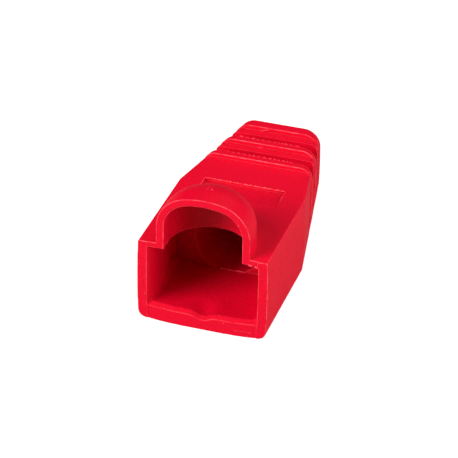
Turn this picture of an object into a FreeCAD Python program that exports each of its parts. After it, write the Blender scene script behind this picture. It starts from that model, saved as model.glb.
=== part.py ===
"""Slip-on strain relief boot for a modular plug: one moulding in soft PVC.

The plug is pushed into the square socket at the mouth, its latch lies under
the arched hood, and the cable leaves through the round bore of the ribbed
tail.  All sizes are in millimetres.

The boot is built with its mouth at Y = 0 and its tail towards +Y, and it is
moved along Y at the end, so that the origin of the finished part lies under
the middle of its length, on the plane that it rests on.
"""

import FreeCAD
import Part
import math
import os

# ---- overall sizes ---------------------------------------------------------
LENGTH = 27.4             # mouth to the end of the tail
WIDTH = 14.2              # across the bowed side walls
HEIGHT = 9.6              # underside to top face, without the hood

# ---- box that holds the plug -----------------------------------------------
BODY_LENGTH = 13.3        # straight stretch before the tail narrows
SIDE_WALL = 1.05          # at the lower corners
FLOOR_WALL = 1.85         # in the middle
FLOOR_BOW = 0.22          # the socket's floor lifts this far towards its sides
SOCKET_CORNER = 0.8       # rounding between that floor and the side walls
ROOF_WALL = 0.6
SOCKET_DEPTH = 9.3
SIDE_BOW = 0.1            # side walls bulge this far between their edges
UNDER_BOW = 0.25          # underside lifts this far towards its edges
REST_WIDTH = 5.0          # flat strip that the boot stands on
UNDER_EDGE_RADIUS = 0.95
UPPER_EDGE_RADIUS = 0.15

# ---- mouth -------------------------------------------------------------------
LEAD_IN = 0.6             # length of the chamfer inside the mouth
LEAD_IN_SIDE = 0.1        # how far it opens each side wall
LIP_WALL = 1.55           # thickness left at the lower lip, in the middle
LIP_CORNER = 0.05         # the socket's lower corners start almost sharp
INSET_DEPTH = 0.08        # centre of the front face lies this far back
NOTCH_WIDTH = 3.2         # rounded dip in the lower lip, shoulder to shoulder
NOTCH_DEPTH = 0.4
NOTCH_FADE = 0.4          # length behind the chamfer in which the dip runs out

# ---- arched hood over the latch ------------------------------------------------
HOOD_WIDTH = 10.1         # outside
HOOD_RISE = 6.0           # above the top face
HOOD_WALL = 0.8
HOOD_FRONT = 1.7          # straight stretch ahead of the dome
HOOD_SHOULDER = 3.8       # outside radius where the sides meet the crown
HOOD_CROWN_RISE = 0.15    # how far the crown arches between the shoulders

# ---- wedge recess behind the hood -----------------------------------------------
RECESS_WIDTH = 9.0
RECESS_START = 11.1
RECESS_END = 14.4
RECESS_DEPTH = 0.35

# ---- ribbed tail -----------------------------------------------------------------
TAIL_WIDTH = 9.1          # smooth skin at the very end
TAIL_REST_WIDTH = 3.0     # flat strip under the very end
TAIL_CLIMB = 1.1          # the underside rises this far along the tail
TAIL_UNDER_BOW = 0.1
TAIL_SIDE_BOW = 0.03
TAIL_TOP_RADIUS = 1.0
TAIL_UNDER_RADIUS = 1.5
RIB_COUNT = 2             # ribs ahead of the end collar
RIB_PITCH = 3.6
RIB_WIDTH = 0.85
COLLAR_WIDTH = 1.35
RIB_RISE = 0.54           # ribs and collar stand this far above the skin
RIB_SIDE = 0.13           # and this far out from it at the sides
RIB_LIFT = 0.2            # their underside runs this far above the skin's
RIB_ROUNDING = 0.95       # added to the skin's upper corner radius
RIB_UNDER_ROUNDING = 0.9  # added to the skin's lower corner radius
SLOT_WIDTH = 1.75         # slot behind each rib
SLOT_DEPTH = 0.6          # below the skin

# ---- cable way ---------------------------------------------------------------------
BORE_RADIUS = 2.95        # straight stretch at the tail end
BORE_LENGTH = 8.0
FUNNEL_RADIUS = 3.75      # where the funnel opens into the socket
FUNNEL_EDGE = 0.15        # rounding of that opening

# ---- worked out from the sizes above -------------------------------------------------
EDGE_HALF_WIDTH = WIDTH / 2 - SIDE_BOW
SOCKET_HALF_WIDTH = EDGE_HALF_WIDTH - SIDE_WALL
SOCKET_FLOOR = FLOOR_WALL
SOCKET_ROOF = HEIGHT - ROOF_WALL
HOOD_TOP = HEIGHT + HOOD_RISE
BORE_HEIGHT = (HEIGHT + TAIL_CLIMB) / 2
OVERLAP = 1.0             # cutting bodies run this far past a face


def vector(x, y, z):
    return FreeCAD.Vector(x, y, z)


def segment(start, end):
    return Part.LineSegment(start, end).toShape()


def arc(start, middle, end):
    return Part.Arc(start, middle, end).toShape()


def block(x_low, x_high, y_low, y_high, z_low, z_high):
    return Part.makeBox(
        x_high - x_low, y_high - y_low, z_high - z_low, vector(x_low, y_low, z_low)
    )


def between(start, end, share):
    """The value a given share of the way from start to end."""
    return start + (end - start) * share


def bowed_corner(half_width, depth, flat, bow, radius):
    """Points of a flat edge that bows away and turns a round corner, all tangent.

    The edge leaves the middle at (flat, 0), recedes by about bow, and turns
    with the given radius to run along the side at half_width.  Points are
    (x, distance from the edge), in order: end of the flat, middle of the bow,
    joint, middle of the corner, start of the side.
    """
    span = half_width - radius - flat
    large = (span ** 2 + bow ** 2) / (2 * bow) + radius
    centre = large - math.sqrt((large - radius) ** 2 - span ** 2)
    lean = math.asin(span / (large - radius))
    turn = (math.pi / 2 + lean) / 2

    def on_large(angle):
        return flat + large * math.sin(angle), large - large * math.cos(angle)

    def on_corner(angle):
        return (half_width - radius + radius * math.sin(angle),
                centre - radius * math.cos(angle))

    points = [(flat, 0.0), on_large(lean / 2), on_large(lean), on_corner(turn),
              (half_width, centre)]
    return [(x, depth + rise) for x, rise in points]


def section(y, half_width, under, top, rest, under_bow, side_bow, under_radius, top_radius):
    """Closed wire across the boot at Y: flat top, bowed underside and sides."""
    lower = bowed_corner(half_width, under, rest / 2, under_bow, under_radius)
    right_low = [vector(x, y, z) for x, z in lower]
    left_low = [vector(-x, y, z) for x, z in lower]
    shift = top_radius * (1 - math.sqrt(0.5))
    edge_top = vector(half_width, y, top - top_radius)
    corner = vector(half_width - shift, y, top - shift)
    inner_top = vector(half_width - top_radius, y, top)
    side_middle = vector(half_width + side_bow, y, (lower[-1][1] + top - top_radius) / 2)

    def left(point):
        return vector(-point.x, point.y, point.z)

    return Part.Wire([
        segment(left_low[0], right_low[0]),
        arc(right_low[0], right_low[1], right_low[2]),
        arc(right_low[2], right_low[3], right_low[4]),
        arc(right_low[4], side_middle, edge_top),
        arc(edge_top, corner, inner_top),
        segment(inner_top, left(inner_top)),
        arc(left(inner_top), left(corner), left(edge_top)),
        arc(left(edge_top), left(side_middle), left_low[4]),
        arc(left_low[4], left_low[3], left_low[2]),
        arc(left_low[2], left_low[1], left_low[0]),
    ])


def skin_section(y, side=0.0, rise=0.0, rounding=0.0, sink=0.0, under_rounding=0.0):
    """Section of the tail's skin at Y, or of what stands proud of it or is sunk in it."""
    share = (y - BODY_LENGTH) / (LENGTH - BODY_LENGTH)
    return section(
        y,
        between(EDGE_HALF_WIDTH, TAIL_WIDTH / 2, share) + side,
        between(0, TAIL_CLIMB, share) + sink,
        HEIGHT + rise,
        between(REST_WIDTH, TAIL_REST_WIDTH, share),
        between(UNDER_BOW, TAIL_UNDER_BOW, share),
        between(SIDE_BOW, TAIL_SIDE_BOW, share),
        between(UNDER_EDGE_RADIUS, TAIL_UNDER_RADIUS, share) + under_rounding,
        between(UPPER_EDGE_RADIUS, TAIL_TOP_RADIUS, share) + rounding,
    )


def box_shell():
    """The straight box, still solid."""
    sections = []
    for y in (0, BODY_LENGTH):
        sections.append(section(
            y, EDGE_HALF_WIDTH, 0, HEIGHT, REST_WIDTH, UNDER_BOW, SIDE_BOW,
            UNDER_EDGE_RADIUS, UPPER_EDGE_RADIUS,
        ))
    return Part.makeLoft(sections, True, True)


def tail_stretch(y_low, y_high, **changes):
    """A stretch of the tail between two stations, changed as skin_section says."""
    sections = [skin_section(y, **changes) for y in (y_low, y_high)]
    return Part.makeLoft(sections, True, True)


def rib_stations():
    """First and last Y of each rib, and of the collar that ends the tail."""
    collar_start = LENGTH - COLLAR_WIDTH
    stations = []
    for index in range(RIB_COUNT, 0, -1):
        start = collar_start - index * RIB_PITCH
        stations.append((start, start + RIB_WIDTH))
    return stations + [(collar_start, LENGTH)]


def slot(y_low, y_high):
    """Ring that is cut away behind a rib, down to a core below the skin."""
    core = tail_stretch(
        y_low - OVERLAP, y_high + OVERLAP, side=-SLOT_DEPTH, rise=-SLOT_DEPTH, sink=SLOT_DEPTH,
    )
    reach = EDGE_HALF_WIDTH + OVERLAP
    around = block(-reach, reach, y_low, y_high, -OVERLAP, HEIGHT + OVERLAP)
    return around.cut(core)


def ribbed_tail():
    """The tail: smooth skin, with ribs on it and a slot behind each rib."""
    tail = tail_stretch(BODY_LENGTH, LENGTH)
    stations = rib_stations()
    for start, end in stations[:-1]:
        tail = tail.cut(slot(end, end + SLOT_WIDTH))
    for start, end in stations:
        tail = tail.fuse(tail_stretch(
            start, end, side=RIB_SIDE, rise=RIB_RISE, rounding=RIB_ROUNDING, sink=RIB_LIFT,
            under_rounding=RIB_UNDER_ROUNDING,
        ))
    return tail


def arch_half(half_width, top, bottom, shoulder):
    """Right half of the hood's arch as a face: leg, round shoulder, flatter crown."""
    corner = bowed_corner(half_width, 0, 0, HOOD_CROWN_RISE, shoulder)
    crown_top, on_crown, joint, on_shoulder, springing = [
        vector(x, 0, top - drop) for x, drop in corner
    ]
    foot = vector(half_width, 0, bottom)
    middle_foot = vector(0, 0, bottom)
    return Part.Face(Part.Wire([
        arc(crown_top, on_crown, joint),
        arc(joint, on_shoulder, springing),
        segment(springing, foot),
        segment(foot, middle_foot),
        segment(middle_foot, crown_top),
    ]))


def hood_form(y_front, half_width, top, bottom, shoulder):
    """Arch carried straight back, closed by turning its half about the rear axis."""
    half = arch_half(half_width, top, bottom, shoulder)
    half.translate(vector(0, HOOD_FRONT, 0))
    dome = half.revolve(vector(0, HOOD_FRONT, 0), vector(0, 0, 1), 180)
    straight = half.extrude(vector(0, y_front - HOOD_FRONT, 0))
    mirrored = straight.mirror(vector(0, 0, 0), vector(1, 0, 0))
    return dome.fuse([straight, mirrored])


def hood():
    """The hood's outside, standing on the top face."""
    return hood_form(0, HOOD_WIDTH / 2, HOOD_TOP, SOCKET_ROOF, HOOD_SHOULDER)


def latch_space():
    """Room for the latch: inside of the hood, open to the front and the socket."""
    return hood_form(
        -OVERLAP,
        HOOD_WIDTH / 2 - HOOD_WALL,
        HOOD_TOP - HOOD_WALL,
        (SOCKET_FLOOR + SOCKET_ROOF) / 2,
        HOOD_SHOULDER - HOOD_WALL,
    )


def level_arc(y, level, end):
    """Arc across the boot at Y that leaves its first point level and runs to its end."""
    (level_x, level_z), (end_x, end_z) = level, end
    half_run = (end_x - level_x) / 2
    rise = end_z - level_z
    radius = (4 * half_run ** 2 + rise ** 2) / (2 * abs(rise))
    sag = math.copysign(radius - math.sqrt(radius ** 2 - half_run ** 2), rise)
    return arc(
        vector(level_x, y, level_z),
        vector(level_x + half_run, y, level_z + sag),
        vector(end_x, y, end_z),
    )


def dip_line(y, middle, depth):
    """Edges of the lip's dip at Y, from left to right: shoulder, valley, shoulder."""
    shoulder = NOTCH_WIDTH / 2
    bend_x, bend_z = shoulder / 2, middle - depth / 2
    valley = arc(
        vector(-bend_x, y, bend_z), vector(0, y, middle - depth), vector(bend_x, y, bend_z)
    )
    return [
        level_arc(y, (-shoulder, middle), (-bend_x, bend_z)),
        valley,
        level_arc(y, (shoulder, middle), (bend_x, bend_z)),
    ]


def socket_outline(y, reach, middle, corner, depth):
    """Closed wire of the socket at Y: flat roof and sides, round lower corners, and a
    floor that bows up to them and dips by depth in the middle."""
    lower = bowed_corner(reach, middle, NOTCH_WIDTH / 2, FLOOR_BOW, corner)
    right = [vector(x, y, z) for x, z in lower]
    left = [vector(-x, y, z) for x, z in lower]
    roof_right = vector(reach, y, SOCKET_ROOF)
    roof_left = vector(-reach, y, SOCKET_ROOF)
    centre = dip_line(y, middle, depth) if depth else [segment(left[0], right[0])]
    return Part.Wire([
        segment(roof_right, roof_left),
        segment(roof_left, left[4]),
        arc(left[4], left[3], left[2]),
        arc(left[2], left[1], left[0]),
        *centre,
        arc(right[0], right[1], right[2]),
        arc(right[2], right[3], right[4]),
        segment(right[4], roof_right),
    ])


def dip_run_out():
    """The lip's dip behind the chamfer: it climbs until it is level with the floor."""
    shoulder = NOTCH_WIDTH / 2
    right_low = vector(shoulder, LEAD_IN, SOCKET_FLOOR)
    left_low = vector(-shoulder, LEAD_IN, SOCKET_FLOOR)
    right_high = right_low + vector(0, 0, OVERLAP)
    left_high = left_low + vector(0, 0, OVERLAP)
    outline = Part.Wire([
        *dip_line(LEAD_IN, SOCKET_FLOOR, NOTCH_DEPTH),
        segment(right_low, right_high),
        segment(right_high, left_high),
        segment(left_high, left_low),
    ])
    return Part.Face(outline).extrude(vector(0, NOTCH_FADE, NOTCH_DEPTH))


def socket():
    """Room for the plug, with a chamfer that opens it towards the mouth."""
    half = SOCKET_HALF_WIDTH
    wide = half + LEAD_IN_SIDE
    front = socket_outline(0, wide, LIP_WALL, LIP_CORNER, NOTCH_DEPTH)
    behind = socket_outline(LEAD_IN, half, SOCKET_FLOOR, SOCKET_CORNER, NOTCH_DEPTH)
    lead_in = Part.makeLoft([front, behind], True, True)
    approach = Part.Face(front).extrude(vector(0, -OVERLAP, 0))
    room = Part.Face(socket_outline(0, half, SOCKET_FLOOR, SOCKET_CORNER, 0))
    room = room.extrude(vector(0, SOCKET_DEPTH, 0))
    return room.fuse([lead_in, approach, dip_run_out()])


def cable_way():
    """Funnel from the socket to the straight bore, turned about the cable's axis."""
    quarter = FUNNEL_EDGE * (1 - math.sqrt(0.5))
    centre = vector(0, SOCKET_DEPTH, 0)
    rim = vector(FUNNEL_RADIUS + FUNNEL_EDGE, SOCKET_DEPTH, 0)
    on_rounding = vector(FUNNEL_RADIUS + quarter, SOCKET_DEPTH + quarter, 0)
    throat = vector(FUNNEL_RADIUS, SOCKET_DEPTH + FUNNEL_EDGE, 0)
    bore_start = vector(BORE_RADIUS, LENGTH - BORE_LENGTH, 0)
    bore_end = vector(BORE_RADIUS, LENGTH + OVERLAP, 0)
    axis_end = vector(0, LENGTH + OVERLAP, 0)
    outline = Part.Wire([
        segment(centre, rim),
        arc(rim, on_rounding, throat),
        segment(throat, bore_start),
        segment(bore_start, bore_end),
        segment(bore_end, axis_end),
        segment(axis_end, centre),
    ])
    way = Part.Face(outline).revolve(vector(0, 0, 0), vector(0, 1, 0), 360)
    way.translate(vector(0, 0, BORE_HEIGHT))
    return way


def top_recess():
    """Wedge recess: flush at its front, deepest at its rear wall."""
    half = RECESS_WIDTH / 2
    profile = Part.makePolygon([
        vector(-half, RECESS_START, HEIGHT),
        vector(-half, RECESS_END, HEIGHT - RECESS_DEPTH),
        vector(-half, RECESS_END, HEIGHT + OVERLAP),
        vector(-half, RECESS_START, HEIGHT + OVERLAP),
        vector(-half, RECESS_START, HEIGHT),
    ])
    return Part.Face(profile).extrude(vector(RECESS_WIDTH, 0, 0))


def front_inset():
    """The centre of the front face, between the side walls, lies slightly back."""
    half = SOCKET_HALF_WIDTH
    return block(-half, half, -OVERLAP, INSET_DEPTH, -OVERLAP, HOOD_TOP + OVERLAP)


def boot():
    solid = box_shell().fuse(ribbed_tail()).fuse(hood())
    for void in (socket(), latch_space(), cable_way(), top_recess(), front_inset()):
        solid = solid.cut(void)
    solid = solid.removeSplitter()
    solid.translate(vector(0, -LENGTH / 2, 0))
    return solid


def main():
    os.makedirs("parts", exist_ok=True)
    shape = boot()
    print("boot:", len(shape.Solids), "solid,", round(shape.Volume, 1), "mm3, valid",
          shape.isValid())
    shape.exportStep("parts/boot.step")


main()
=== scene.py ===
"""Looks of a slip-on strain relief boot for a modular plug, in moulded soft PVC.

The boot is one moulding.  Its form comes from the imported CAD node; this script
gives that form the small edge roundings that the mould leaves, draws out the dip
in its lower lip, adds the thin flash and the nibs of the moulding, dresses all of
it as soft red PVC, and sets up a pale floor, soft lamps and a camera.

Everything ends up in metres, in the CAD frame: +Y from the mouth to the tail, +Z
up.  Small places on the boot are written in millimetres, as x to the right, y back
from the mouth and z up.
"""

import logging
import math
from dataclasses import dataclass, field

import bmesh
import bpy
import numpy as np
from mathutils import Matrix, Vector


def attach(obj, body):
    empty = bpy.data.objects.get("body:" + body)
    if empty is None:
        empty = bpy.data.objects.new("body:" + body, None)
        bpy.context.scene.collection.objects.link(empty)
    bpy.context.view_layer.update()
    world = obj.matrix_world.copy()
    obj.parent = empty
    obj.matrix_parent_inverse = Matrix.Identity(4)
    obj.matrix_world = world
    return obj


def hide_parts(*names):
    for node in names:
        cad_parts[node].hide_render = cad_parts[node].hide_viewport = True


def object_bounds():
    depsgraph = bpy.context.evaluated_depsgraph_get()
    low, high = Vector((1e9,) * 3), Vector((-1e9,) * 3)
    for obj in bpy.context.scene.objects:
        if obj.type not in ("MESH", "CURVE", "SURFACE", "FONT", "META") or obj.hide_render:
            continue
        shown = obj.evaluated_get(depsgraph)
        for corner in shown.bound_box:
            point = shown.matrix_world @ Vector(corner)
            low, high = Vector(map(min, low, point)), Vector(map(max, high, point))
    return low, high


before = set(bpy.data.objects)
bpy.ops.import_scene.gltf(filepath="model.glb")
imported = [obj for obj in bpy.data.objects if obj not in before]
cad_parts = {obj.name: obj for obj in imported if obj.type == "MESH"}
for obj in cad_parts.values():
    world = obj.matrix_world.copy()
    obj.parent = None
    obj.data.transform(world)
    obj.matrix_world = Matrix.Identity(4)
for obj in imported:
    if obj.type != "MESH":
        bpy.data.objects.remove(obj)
CAD_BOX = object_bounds()

MM = 0.001
MOUTH_MM = round(CAD_BOX[0][1] / MM, 3)  # the mouth is the front of the CAD box
WELD_MM = 0.001           # vertices nearer than this are one vertex
BEND = "bend"             # vertex attribute: one over an edge's radius, per mm
MATT = "matt"             # vertex attribute: how matt the skin is, from 0 to 1
WHITE = (1.0, 1.0, 1.0, 1.0)
LOG = logging.getLogger("boot")

Point = tuple[float, float, float]


# ---- colours, nodes and meshes ------------------------------------------------------


def linear(hex_colour: str) -> tuple[float, float, float, float]:
    """Turn an sRGB hex colour into linear values.

    Args:
        hex_colour: Six hex digits, such as "f01a2c".

    Returns:
        Linear red, green and blue, and an alpha of 1.
    """
    parts = [int(hex_colour[i:i + 2], 16) / 255 for i in (0, 2, 4)]
    red, green, blue = (
        part / 12.92 if part <= 0.04045 else ((part + 0.055) / 1.055) ** 2.4
        for part in parts
    )
    return red, green, blue, 1.0


def add_node(
    tree: bpy.types.NodeTree,
    kind: str,
    settings: dict[str, object] | None = None,
    values: dict[str | int, object] | None = None,
    links: dict[str | int, bpy.types.NodeSocket] | None = None,
) -> bpy.types.Node:
    """Add a node with its settings, socket values and links.

    Args:
        tree: Node tree that gets the node.
        kind: Blender's name of the node type.
        settings: Attributes of the node itself.
        values: Constant values, by input name or number.
        links: Output sockets to join, by input name or number.

    Returns:
        The new node.
    """
    node = tree.nodes.new(kind)
    for name, value in (settings or {}).items():
        setattr(node, name, value)
    for name, value in (values or {}).items():
        node.inputs[name].default_value = value
    for name, socket in (links or {}).items():
        tree.links.new(socket, node.inputs[name])
    return node


def coordinates(mesh: bpy.types.Mesh) -> np.ndarray:
    """The mesh's points, one a row."""
    points = np.empty(len(mesh.vertices) * 3)
    mesh.vertices.foreach_get("co", points)
    return points.reshape(-1, 3)


# ---- finishes -----------------------------------------------------------------------


@dataclass(frozen=True)
class SoftPvc:
    """Injection-moulded soft PVC, pigmented red.

    Its mould is taken to be spark-eroded, which leaves a fine grain, so to the eye
    it is satin and deep red rather than glossy.  Highlights are painted on its outer
    edges as a paler colour, shade is painted into its creases as a deeper colour,
    and the chamfer in the mouth is matt.

    Attributes:
        body: The lighter red of its clouded pigment.
        deep: The deeper red.
        pit: Colour at the bottom of the grain's pits.
        crease: Colour of the shade painted into a sharp crease.
        highlight_colour: Paler colour that paints a highlight on an outer edge.
        mottle_mm: Width of the pigment's clouds.
        grain_mm: Width of the grain.  A real one is finer, too fine to show, so it
            is drawn this coarse.
        highlight_noise_mm: Length of the stretches in which the painted edge highlight is
            stronger or weaker.
    """

    name: str = "moulded soft PVC"

    # colours
    body: str = "d40024"
    deep: str = "cc0022"
    pit: str = "a8001c"
    # colour of the painted shade in creases
    crease: str = "b0001a"
    # colour of the painted highlight on outer edges
    highlight_colour: str = "ff5a62"

    # noises: width, finer detail, and how rough that detail is
    mottle_mm: float = 1.6
    mottle_detail: float = 4.0
    grain_mm: float = 0.16
    grain_detail: float = 2.0
    highlight_noise_mm: float = 0.7
    highlight_noise_detail: float = 3.0
    noise_roughness: float = 0.6
    grain_noise_roughness: float = 0.5

    # the grain as relief: its depth, and how much of it the light picks out
    grain_depth_mm: float = 0.02
    grain_relief: float = 0.4

    # where pits (by noise), painted crease shade and painted edge highlights (by
    # bend, per mm) and the highlights' unevenness (by noise) set in and are full,
    # and how much of them shows
    pit_from: float = 0.35
    pit_to: float = 0.65
    pit_share: float = 0.6
    crease_shade_from: float = 1.2
    crease_shade_to: float = 4.5
    highlight_bend_from: float = 2.6
    highlight_bend_to: float = 6.5
    highlight_noise_from: float = 0.35
    highlight_noise_to: float = 0.62
    weakest_highlight: float = 0.1
    strongest_highlight: float = 0.85

    # the shader's own values
    roughness: float = 0.5
    roughness_spread: float = 0.06
    matt_roughness: float = 0.92
    specular: float = 0.12
    ior: float = 1.53

    def material(self) -> bpy.types.Material:
        """Build the material.

        Returns:
            Grained pigment with painted shade in creases and painted highlights on
            outer edges, with a satin gloss.
        """
        made = bpy.data.materials.new(self.name)
        made.use_nodes = True
        tree = made.node_tree
        tree.nodes.clear()
        place = add_node(tree, "ShaderNodeTexCoord").outputs["Object"]
        grain = add_node(
            tree, "ShaderNodeTexNoise",
            values={"Scale": 1 / (self.grain_mm * MM), "Detail": self.grain_detail,
                    "Roughness": self.grain_noise_roughness},
            links={"Vector": place},
        ).outputs["Fac"]
        bend = add_node(
            tree, "ShaderNodeAttribute", {"attribute_name": BEND}
        ).outputs["Fac"]
        colour = self.pigment(tree, place, grain)
        colour = self.paint_crease_shade(tree, colour, bend)
        colour = self.paint_edge_highlights(tree, colour, bend, place)
        bump = add_node(
            tree, "ShaderNodeBump",
            values={"Strength": self.grain_relief,
                    "Distance": self.grain_depth_mm * MM},
            links={"Height": grain},
        )
        shader = add_node(
            tree, "ShaderNodeBsdfPrincipled",
            values={"IOR": self.ior, "Specular IOR Level": self.specular},
            links={"Base Color": colour, "Roughness": self.gloss(tree, grain),
                   "Normal": bump.outputs["Normal"]},
        )
        add_node(
            tree, "ShaderNodeOutputMaterial", links={"Surface": shader.outputs["BSDF"]}
        )
        return made

    def pigment(
        self,
        tree: bpy.types.NodeTree,
        place: bpy.types.NodeSocket,
        grain: bpy.types.NodeSocket,
    ) -> bpy.types.NodeSocket:
        """Cloud the red a little, and darken it in the grain's pits.

        Args:
            tree: The material's nodes.
            place: Place on the object.
            grain: Height of the grain, from 0 to 1.

        Returns:
            The colour.
        """
        mottle = add_node(
            tree, "ShaderNodeTexNoise",
            values={"Scale": 1 / (self.mottle_mm * MM), "Detail": self.mottle_detail,
                    "Roughness": self.noise_roughness},
            links={"Vector": place},
        )
        clouded = add_node(
            tree, "ShaderNodeMix", {"data_type": "RGBA"},
            values={6: linear(self.deep), 7: linear(self.body)},
            links={0: mottle.outputs["Fac"]},
        )
        pits = add_node(
            tree, "ShaderNodeMapRange",
            values={"From Min": self.pit_from, "From Max": self.pit_to,
                    "To Max": self.pit_share},
            links={"Value": grain},
        )
        return add_node(
            tree, "ShaderNodeMix", {"data_type": "RGBA"},
            values={7: linear(self.pit)},
            links={0: pits.outputs["Result"], 6: clouded.outputs[2]},
        ).outputs[2]

    def paint_crease_shade(
        self,
        tree: bpy.types.NodeTree,
        colour: bpy.types.NodeSocket,
        bend: bpy.types.NodeSocket,
    ) -> bpy.types.NodeSocket:
        """Paint shade into creases by darkening the colour.

        Args:
            tree: The material's nodes.
            colour: Colour outside the creases.
            bend: The bend attribute, which is under 0 in a crease.

        Returns:
            The colour.
        """
        # painted shade: the colour darkens where the bend is under 0, as in a crease
        crease_shade = add_node(
            tree, "ShaderNodeMapRange",
            values={"From Min": -self.crease_shade_from, "From Max": -self.crease_shade_to},
            links={"Value": bend},
        )
        return add_node(
            tree, "ShaderNodeMix", {"data_type": "RGBA"},
            values={7: linear(self.crease)},
            links={0: crease_shade.outputs["Result"], 6: colour},
        ).outputs[2]

    def paint_edge_highlights(
        self,
        tree: bpy.types.NodeTree,
        colour: bpy.types.NodeSocket,
        bend: bpy.types.NodeSocket,
        place: bpy.types.NodeSocket,
    ) -> bpy.types.NodeSocket:
        """Paint highlights on outer edges as a paler colour, unevenly along their length.

        Args:
            tree: The material's nodes.
            colour: Colour off the edges.
            bend: The bend attribute.
            place: Place on the object.

        Returns:
            The colour.
        """
        # noise that makes the painted edge highlights stronger or weaker along their
        # length
        highlight_noise = add_node(
            tree, "ShaderNodeTexNoise",
            values={"Scale": 1 / (self.highlight_noise_mm * MM), "Detail": self.highlight_noise_detail,
                    "Roughness": self.noise_roughness},
            links={"Vector": place},
        )
        share = add_node(
            tree, "ShaderNodeMapRange",
            values={"From Min": self.highlight_noise_from, "From Max": self.highlight_noise_to,
                    "To Min": self.weakest_highlight, "To Max": self.strongest_highlight},
            links={"Value": highlight_noise.outputs["Fac"]},
        )
        # painted highlight: paler where the surface bends sharply outwards
        edge = add_node(
            tree, "ShaderNodeMapRange",
            values={"From Min": self.highlight_bend_from, "From Max": self.highlight_bend_to},
            links={"Value": bend, "To Max": share.outputs["Result"]},
        )
        return add_node(
            tree, "ShaderNodeMix", {"data_type": "RGBA"},
            values={7: linear(self.highlight_colour)},
            links={0: edge.outputs["Result"], 6: colour},
        ).outputs[2]

    def gloss(
        self, tree: bpy.types.NodeTree, grain: bpy.types.NodeSocket
    ) -> bpy.types.NodeSocket:
        """Vary the satin with the grain, and make it matt where the attribute says so.

        Args:
            tree: The material's nodes.
            grain: Height of the grain, from 0 to 1.

        Returns:
            The roughness.
        """
        satin = add_node(
            tree, "ShaderNodeMapRange",
            values={"To Min": self.roughness - self.roughness_spread,
                    "To Max": self.roughness + self.roughness_spread},
            links={"Value": grain},
        )
        matt = add_node(tree, "ShaderNodeAttribute", {"attribute_name": MATT})
        return add_node(
            tree, "ShaderNodeMath", {"operation": "MULTIPLY_ADD"},
            values={1: self.matt_roughness - self.roughness},
            links={0: matt.outputs["Fac"], 2: satin.outputs["Result"]},
        ).outputs[0]


# ---- flash and nibs -----------------------------------------------------------------


@dataclass(frozen=True)
class Thread:
    """A spindle of stray plastic between two points.

    Attributes:
        start: One end, in millimetres: right, back from the mouth, up.
        end: The other end.
        radius: Radius at its middle, in millimetres.
        rings: Rings of points along it.
        sides: Points in a ring.
    """

    start: Point
    end: Point
    radius: float
    rings: int = 9
    sides: int = 8

    def surface(self) -> tuple[np.ndarray, np.ndarray]:
        """Closed surface of the spindle.

        With u from 0 to pi along it and v once round it, a point is the middle,
        less cos u times half its length, plus radius times sin u outwards.

        Returns:
            Points, one a row, and four-sided faces as rows of indices.
        """
        u = np.linspace(0, math.pi, self.rings)[:, None, None]
        v = np.linspace(0, 2 * math.pi, self.sides, endpoint=False)[None, :, None]
        start, end = np.array(self.start), np.array(self.end)
        half = (end - start) / 2
        along = half / np.linalg.norm(half)
        upright = abs(along[2]) > 0.9
        side = np.cross(along, (1.0, 0.0, 0.0) if upright else (0.0, 0.0, 1.0))
        side /= np.linalg.norm(side)
        outwards = np.cos(v) * side + np.sin(v) * np.cross(along, side)
        points = (
            (start + end) / 2 - np.cos(u) * half + self.radius * np.sin(u) * outwards
        )
        here = np.arange(self.rings * self.sides).reshape(self.rings, self.sides)
        beside = np.roll(here, -1, axis=1)
        faces = np.stack([here[:-1], beside[:-1], beside[1:], here[1:]], axis=-1)
        return points.reshape(-1, 3), faces.reshape(-1, 4)


def nib(x: float, y: float, z: float, radius: float = 0.09) -> Thread:
    """A round nib of stray plastic, about half sunk in the face it stands on."""
    return Thread((x - radius, y, z), (x + radius, y, z), radius)


@dataclass(frozen=True)
class Seam:
    """A broken line of flash, where two parts of the mould meet.

    Attributes:
        start: One end, as in Thread.
        end: The other end.
        radius: Mean radius of its threads.
        count: How many threads there are.
        filled: Share of the line that they cover.
    """

    start: Point
    end: Point
    radius: float
    count: int
    filled: float = 0.75

    def threads(self, draw: np.random.Generator) -> list[Thread]:
        """Split the line into threads of uneven length and thickness.

        Args:
            draw: Source of the unevenness.

        Returns:
            The threads, from start to end.
        """
        lengths = draw.uniform(0.5, 1.5, self.count)
        ends = np.concatenate([[0], np.cumsum(lengths) / lengths.sum()])
        middles = (ends[:-1] + ends[1:]) / 2
        halves = (ends[1:] - ends[:-1]) / 2 * self.filled
        radii = self.radius * draw.uniform(0.7, 1.2, self.count)
        start, run = np.array(self.start), np.array(self.end) - np.array(self.start)
        return [
            Thread(tuple(start + run * (middle - half)),
                   tuple(start + run * (middle + half)), float(radius))
            for middle, half, radius in zip(middles, halves, radii)
        ]


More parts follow.
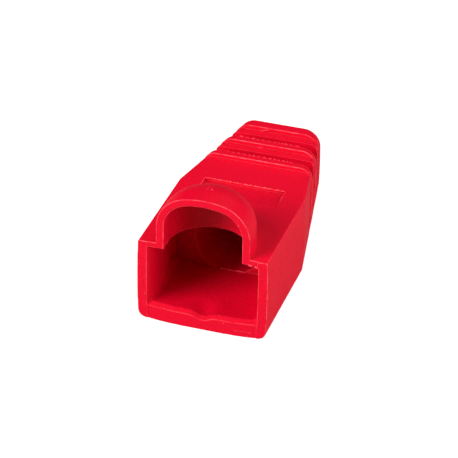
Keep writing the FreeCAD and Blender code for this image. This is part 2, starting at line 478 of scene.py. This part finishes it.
@dataclass
class Flash:
    """All the stray plastic on the boot."""

    seed: int = 5
    seams: tuple[Seam, ...] = (
        # rear edge of the recess behind the hood
        Seam((-4.4, 14.4, 9.61), (4.4, 14.4, 9.61), 0.08, 17, 0.65),
        # foot of the socket's rear wall
        Seam((-1.1, 9.24, 1.92), (2.0, 9.24, 1.96), 0.09, 3, 0.95),
        # upright ends of the lip, below the socket's lower corners
        Seam((5.96, 0.05, 0.3), (5.96, 0.05, 1.45), 0.055, 3, 0.9),
        Seam((-5.97, 0.05, 0.35), (-5.97, 0.05, 1.5), 0.055, 2),
        # short raised line low on the lip
        Seam((3.2, 0.09, 0.69), (5.8, 0.09, 0.75), 0.055, 1, 0.95),
        # rear edges of the first and second rib
        Seam((-3.9, 19.66, 10.14), (3.9, 19.66, 10.14), 0.075, 14, 0.8),
        Seam((-3.6, 23.26, 10.14), (3.6, 23.26, 10.14), 0.075, 12, 0.8),
    )
    strays: tuple[Thread, ...] = (
        # on the hood
        nib(0.12, 2.6, 15.56, 0.1), nib(-0.34, 3.0, 15.5), nib(-0.37, 2.57, 15.55),
        nib(5.06, 1.2, 11.74), nib(3.81, 0.07, 13.42),
        # on the mouth's face
        nib(-6.19, 0.0, 3.24), nib(-4.12, 0.14, 1.7), nib(2.41, 0.07, 1.33),
        nib(0.6, 0.07, 0.47, 0.05),
        # on the right side, and in the socket's upper left corner
        nib(7.09, 5.0, 6.54, 0.07), nib(-5.9, 0.06, 9.03),
        # at the socket's upper right corner
        Thread((4.95, 0.02, 8.99), (5.4, 0.02, 9.01), 0.09),
        Thread((5.6, 0.03, 8.98), (6.02, 0.0, 8.9), 0.11),
        # in the tail's slots
        Thread((-2.0, 26.0, 9.6), (-0.65, 26.06, 9.97), 0.07),
        Thread((-1.13, 22.43, 9.6), (-0.35, 22.43, 9.72), 0.07),
    )

    def surfaces(self) -> tuple[np.ndarray, np.ndarray]:
        """Put the surfaces of every thread together, in the boot's own place.

        Returns:
            Points in millimetres, one a row, and faces as rows of indices.
        """
        draw = np.random.default_rng(self.seed)
        threads = [thread for seam in self.seams for thread in seam.threads(draw)]
        parts = [thread.surface() for thread in (*threads, *self.strays)]
        first = np.cumsum([0] + [len(points) for points, _ in parts[:-1]])
        points = np.concatenate([points for points, _ in parts])
        faces = np.concatenate([rows + start for (_, rows), start in zip(parts, first)])
        return points + (0, MOUTH_MM, 0), faces


# ---- the boot -----------------------------------------------------------------------


@dataclass(frozen=True)
class Shelter:
    """A box that caps the painted edge highlights and crease shade at a set bend.

    Attributes:
        low: The box's lowest corner, in millimetres: right, back from the mouth, up.
        high: Its highest corner.
        most: The sharpest bend that counts in it, as one over a radius.
        matt: How matt the skin is in it, from 0 to 1.
    """

    low: Point
    high: Point
    most: float = math.inf
    matt: float = 0.0


@dataclass(frozen=True)
class RunOut:
    """The lip's dip behind the chamfer, drawn out until it is level with the floor.

    Attributes:
        half_width: Half the dip, shoulder to shoulder, in millimetres.
        depth: Its depth in the middle, at the chamfer's end.
        floor: Height of the socket's floor, to 0.01 mm.
        start: Where the chamfer ends, counted back from the mouth.
        end: Where the dip has run out.
    """

    half_width: float = 1.6
    depth: float = 0.4
    floor: float = 1.84
    start: float = 0.6
    end: float = 3.6

    def carve(self, mesh: bpy.types.Mesh) -> None:
        """Set the height of the floor in the run-out.

        Across it the dip is a cosine from the middle to its shoulders, and along
        it the depth falls as another cosine from start to end.

        Args:
            mesh: Mesh in millimetres, which is changed.
        """
        points = coordinates(mesh)
        across = np.abs(points[:, 0]) / self.half_width
        along = (points[:, 1] - MOUTH_MM - self.start) / (self.end - self.start)
        off_floor = np.abs(points[:, 2] - self.floor + self.depth / 2)
        inside = (across < 1) & (along > 0) & (along < 1) & (off_floor < self.depth)
        sunk = (
            self.depth / 4
            * (1 + np.cos(math.pi * across)) * (1 + np.cos(math.pi * along))
        )
        points[inside, 2] = (self.floor - sunk)[inside]
        mesh.vertices.foreach_set("co", points.ravel())


@dataclass
class Moulding:
    """The boot's one moulding, with the edge roundings that its mould leaves.

    Attributes:
        node: The CAD node that it is made from and stands for.
        voxel_mm: Fineness of the skin before its flats are thinned.
        smoothing: How far a point moves towards its neighbours in one round.
        smoothing_rounds: Rounds of smoothing, which set the edges' radius.
        triangles: Triangles that the finished piece may have.
        sheltered: The chamfer in the mouth, the socket and the tail's two slots.
    """

    node: str = "boot"
    voxel_mm: float = 0.05
    smoothing: float = 0.5
    smoothing_rounds: int = 4
    triangles: int = 190_000
    sheltered: tuple[Shelter, ...] = (
        Shelter((-6.1, 0.1, 1.0), (6.1, 0.65, 9.0), matt=1.0),
        Shelter((-6.1, 0.2, 1.0), (6.1, 9.08, 9.0), most=0.8),
        Shelter((-8.0, 19.85, -1.0), (8.0, 22.25, 11.0), most=3.0),
        Shelter((-8.0, 23.45, -1.0), (8.0, 25.9, 11.0), most=3.0),
    )
    flash: Flash = field(default_factory=Flash)
    run_out: RunOut = field(default_factory=RunOut)
    finish: SoftPvc = field(default_factory=SoftPvc)

    def build(self) -> bpy.types.Object:
        """Make and dress the moulding, and let it stand for the CAD node.

        Returns:
            The finished piece.
        """
        piece = self.merged_copy()
        self.soften(piece)
        piece.data.materials.clear()
        piece.data.materials.append(self.finish.material())
        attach(piece, "root")
        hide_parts(self.node)
        return piece

    def merged_copy(self) -> bpy.types.Object:
        """Copy the CAD node's mesh with the flash, and merge doubled vertices.

        Returns:
            The copy, in millimetres, as the places and radii in this script are.
        """
        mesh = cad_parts[self.node].data.copy()
        mesh.transform(Matrix.Scale(1 / MM, 4))
        points, faces = self.flash.surfaces()
        stray = bpy.data.meshes.new("flash")
        stray.from_pydata(points.tolist(), [], faces.tolist())
        work = bmesh.new()
        work.from_mesh(mesh)
        work.from_mesh(stray)
        bmesh.ops.remove_doubles(work, verts=work.verts, dist=WELD_MM)
        work.to_mesh(mesh)
        work.free()
        piece = bpy.data.objects.new("boot_moulding", mesh)
        bpy.context.scene.collection.objects.link(piece)
        return piece

    def soften(self, piece: bpy.types.Object) -> None:
        """Give the copy its fine skin, with rounded edges and the drawn-out dip.

        It is remeshed, carved, smoothed and thinned, and ends up in metres.

        Args:
            piece: The merged copy, in millimetres, which is changed.
        """
        remesh = piece.modifiers.new("fine skin", "REMESH")
        remesh.mode = "VOXEL"
        remesh.voxel_size = self.voxel_mm
        self.run_out.carve(self.settled(piece))
        smooth = piece.modifiers.new("edge roundings", "SMOOTH")
        smooth.factor = self.smoothing
        smooth.iterations = self.smoothing_rounds
        fine = self.settled(piece)
        self.write_skin(fine)
        fine.calc_loop_triangles()
        thin = piece.modifiers.new("thinned flats", "DECIMATE")
        thin.ratio = min(1.0, self.triangles / len(fine.loop_triangles))
        mesh = self.settled(piece)
        mesh.shade_smooth()
        mesh.transform(Matrix.Scale(MM, 4))

    @staticmethod
    def settled(piece: bpy.types.Object) -> bpy.types.Mesh:
        """Apply the piece's modifiers.

        Args:
            piece: The piece, which is changed.

        Returns:
            Its new mesh.
        """
        graph = bpy.context.evaluated_depsgraph_get()
        mesh = bpy.data.meshes.new_from_object(piece.evaluated_get(graph))
        piece.modifiers.clear()
        piece.data = mesh
        return mesh

    def write_skin(self, mesh: bpy.types.Mesh) -> None:
        """Write how sharply each vertex bends, and how matt it is, as attributes.

        Args:
            mesh: Mesh in millimetres, which gets the attributes.
        """
        points, bend = coordinates(mesh), self.bend(mesh)
        points[:, 1] -= MOUTH_MM
        matt = np.zeros(len(points))
        for place in self.sheltered:
            inside = ((points > place.low) & (points < place.high)).all(axis=1)
            bend[inside] = np.clip(bend[inside], -place.most, place.most)
            matt[inside] += place.matt
        for name, values in ((BEND, bend), (MATT, matt)):
            written = mesh.attributes.new(name, "FLOAT", "POINT")
            written.data.foreach_set("value", values)

    @staticmethod
    def bend(mesh: bpy.types.Mesh) -> np.ndarray:
        """Work out how sharply the surface turns at each vertex.

        Along a mesh edge that spans s, and over which the normal turns by t, the
        surface bends by (s . t) / (s . s): one over the radius where it is convex,
        less than 0 in a crease.  A vertex takes the mean of its edges, evened out
        once with its neighbours.

        Args:
            mesh: The mesh.

        Returns:
            The bend of each vertex.
        """
        points, count = coordinates(mesh), len(mesh.vertices)
        normals = np.empty(count * 3)
        mesh.vertex_normals.foreach_get("vector", normals)
        normals = normals.reshape(-1, 3)
        ends = np.empty(len(mesh.edges) * 2, dtype=np.int32)
        mesh.edges.foreach_get("vertices", ends)
        first, second = ends.reshape(-1, 2).T
        span = points[second] - points[first]
        turn = normals[second] - normals[first]
        along = (span * turn).sum(axis=1) / np.maximum((span ** 2).sum(axis=1), 1e-9)
        number = np.bincount(ends, minlength=count)
        bend = np.bincount(ends, np.repeat(along, 2), count) / number
        around = (np.bincount(first, bend[second], count)
                  + np.bincount(second, bend[first], count)) / number
        return (bend + around) / 2


# ---- the studio ---------------------------------------------------------------------


@dataclass(frozen=True)
class SoftBox:
    """A soft box that faces the boot, placed by angles about it.

    Attributes:
        azimuth: Degrees from straight ahead of the mouth, towards the boot's right.
        elevation: Degrees above the floor.
        strength: Light on a face turned straight at the box.
        size: Length of its sides, in metres.
        distance: How far from the boot it hangs, in metres.
    """

    name: str
    azimuth: float
    elevation: float
    strength: float
    size: tuple[float, float] = (0.30, 0.30)
    distance: float = 0.6


@dataclass
class Studio:
    """Pale floor, white surround, soft boxes and the camera.

    Attributes:
        reach: Half the floor's side, in metres.
        paper: Colour of the floor.
        paper_glow: Light added to the floor for the camera, so that it looks white.
        surround_light: Strength of the surround as light.
        camera_mm: The camera's place, in millimetres in the CAD frame.
        yaw, pitch, roll: The camera's angles, in degrees.
        focal_mm: Focal length of its lens, long enough to flatten depth.
        nearest: Where its view begins, in metres.
    """

    reach: float = 1.2
    paper: str = "959595"
    paper_glow: float = 0.85
    surround_light: float = 0.01
    camera_mm: Point = (67.382, -219.269, 145.33)
    yaw: float = 17.435
    pitch: float = 31.567
    roll: float = 1.104
    focal_mm: float = 196.41
    nearest: float = 0.01
    boxes: tuple[SoftBox, ...] = (
        SoftBox("left box, low", 316, 19, 3.3),
        SoftBox("left box, high", 322, 41, 2.5),
        SoftBox("right box, low", 70, 8, 2.85, size=(0.28, 0.26)),
        SoftBox("right box, high", 92, 22, 1.4),
        SoftBox("top box", 150, 70, 1.6),
    )

    def build(self) -> None:
        """Set up floor, surround, lamps, camera and view transform."""
        self.floor()
        self.surround()
        for box in self.boxes:
            self.lamp(box)
        self.camera()
        bpy.context.scene.view_settings.view_transform = "Standard"

    def floor(self) -> bpy.types.Object:
        """A wide pale floor that the boot stands on, white to the camera.

        Returns:
            The floor.
        """
        half = self.reach
        mesh = bpy.data.meshes.new("floor")
        mesh.from_pydata(
            [(-half, -half, 0), (half, -half, 0), (half, half, 0), (-half, half, 0)],
            [], [(0, 1, 2, 3)],
        )
        floor = bpy.data.objects.new("floor", mesh)
        bpy.context.scene.collection.objects.link(floor)
        mesh.materials.append(self.paper_material())
        return floor

    def paper_material(self) -> bpy.types.Material:
        """Pale matt paper, which keeps soft shadows and glows to the camera alone.

        Returns:
            The floor's material.
        """
        made = bpy.data.materials.new("pale paper")
        made.use_nodes = True
        tree = made.node_tree
        tree.nodes.clear()
        path = add_node(tree, "ShaderNodeLightPath")
        matt = add_node(
            tree, "ShaderNodeBsdfDiffuse", values={"Color": linear(self.paper)}
        )
        glow = add_node(
            tree, "ShaderNodeEmission", values={"Strength": self.paper_glow}
        )
        both = add_node(
            tree, "ShaderNodeAddShader", links={0: matt.outputs[0], 1: glow.outputs[0]}
        )
        mix = add_node(
            tree, "ShaderNodeMixShader",
            links={0: path.outputs["Is Camera Ray"], 1: matt.outputs[0],
                   2: both.outputs[0]},
        )
        add_node(tree, "ShaderNodeOutputMaterial", links={"Surface": mix.outputs[0]})
        return made

    def surround(self) -> None:
        """Put a surround about the scene: plain white to the camera, faint as light."""
        world = bpy.data.worlds.new("surround")
        bpy.context.scene.world = world
        world.use_nodes = True
        tree = world.node_tree
        tree.nodes.clear()
        path = add_node(tree, "ShaderNodeLightPath")
        seen = add_node(
            tree, "ShaderNodeBackground", values={"Color": WHITE, "Strength": 1.0}
        )
        light = add_node(
            tree, "ShaderNodeBackground",
            values={"Color": WHITE, "Strength": self.surround_light},
        )
        mix = add_node(
            tree, "ShaderNodeMixShader",
            links={0: path.outputs["Is Camera Ray"], 1: light.outputs[0],
                   2: seen.outputs[0]},
        )
        add_node(tree, "ShaderNodeOutputWorld", links={"Surface": mix.outputs[0]})

    def lamp(self, box: SoftBox) -> bpy.types.Object:
        """Hang a soft box so that it faces the boot.

        Args:
            box: The soft box's place, size and strength.

        Returns:
            The lamp object.
        """
        around, above = math.radians(box.azimuth), math.radians(box.elevation)
        place = box.distance * Vector((
            math.sin(around) * math.cos(above),
            -math.cos(around) * math.cos(above),
            math.sin(above),
        ))
        data = bpy.data.lights.new(box.name, "AREA")
        data.shape = "RECTANGLE"
        data.size, data.size_y = box.size
        data.energy = box.strength * math.pi * box.distance ** 2
        lamp = bpy.data.objects.new(box.name, data)
        lamp.location = place
        lamp.rotation_euler = (-place).to_track_quat("-Z", "Y").to_euler()
        bpy.context.scene.collection.objects.link(lamp)
        return lamp

    def camera(self) -> bpy.types.Object:
        """Set up the camera, to the right of the mouth and above.

        Returns:
            The camera object, which is the scene's camera.
        """
        yaw, pitch, roll = map(math.radians, (self.yaw, self.pitch, self.roll))
        forward = Vector((
            -math.sin(yaw) * math.cos(pitch),
            math.cos(yaw) * math.cos(pitch),
            -math.sin(pitch),
        ))
        right = Vector((math.cos(yaw), math.sin(yaw), 0))
        up = right.cross(forward)
        across = math.cos(roll) * right + math.sin(roll) * up
        over = -math.sin(roll) * right + math.cos(roll) * up
        turn = Matrix((across, over, -forward)).transposed()
        data = bpy.data.cameras.new("camera")
        data.lens = self.focal_mm
        data.clip_start = self.nearest
        camera = bpy.data.objects.new("camera", data)
        place = Matrix.Translation(Vector(self.camera_mm) * MM)
        camera.matrix_world = place @ turn.to_4x4()
        bpy.context.scene.collection.objects.link(camera)
        bpy.context.scene.camera = camera
        return camera


def main() -> None:
    """Build the boot and the studio, and report each piece."""
    logging.basicConfig(level=logging.INFO, format="%(name)s: %(message)s")
    moulding = Moulding().build()
    LOG.info("moulding: %d faces", len(moulding.data.polygons))
    studio = Studio()
    studio.build()
    LOG.info("studio: floor, surround, %d soft boxes and camera", len(studio.boxes))


if __name__ == "__main__":
    main()
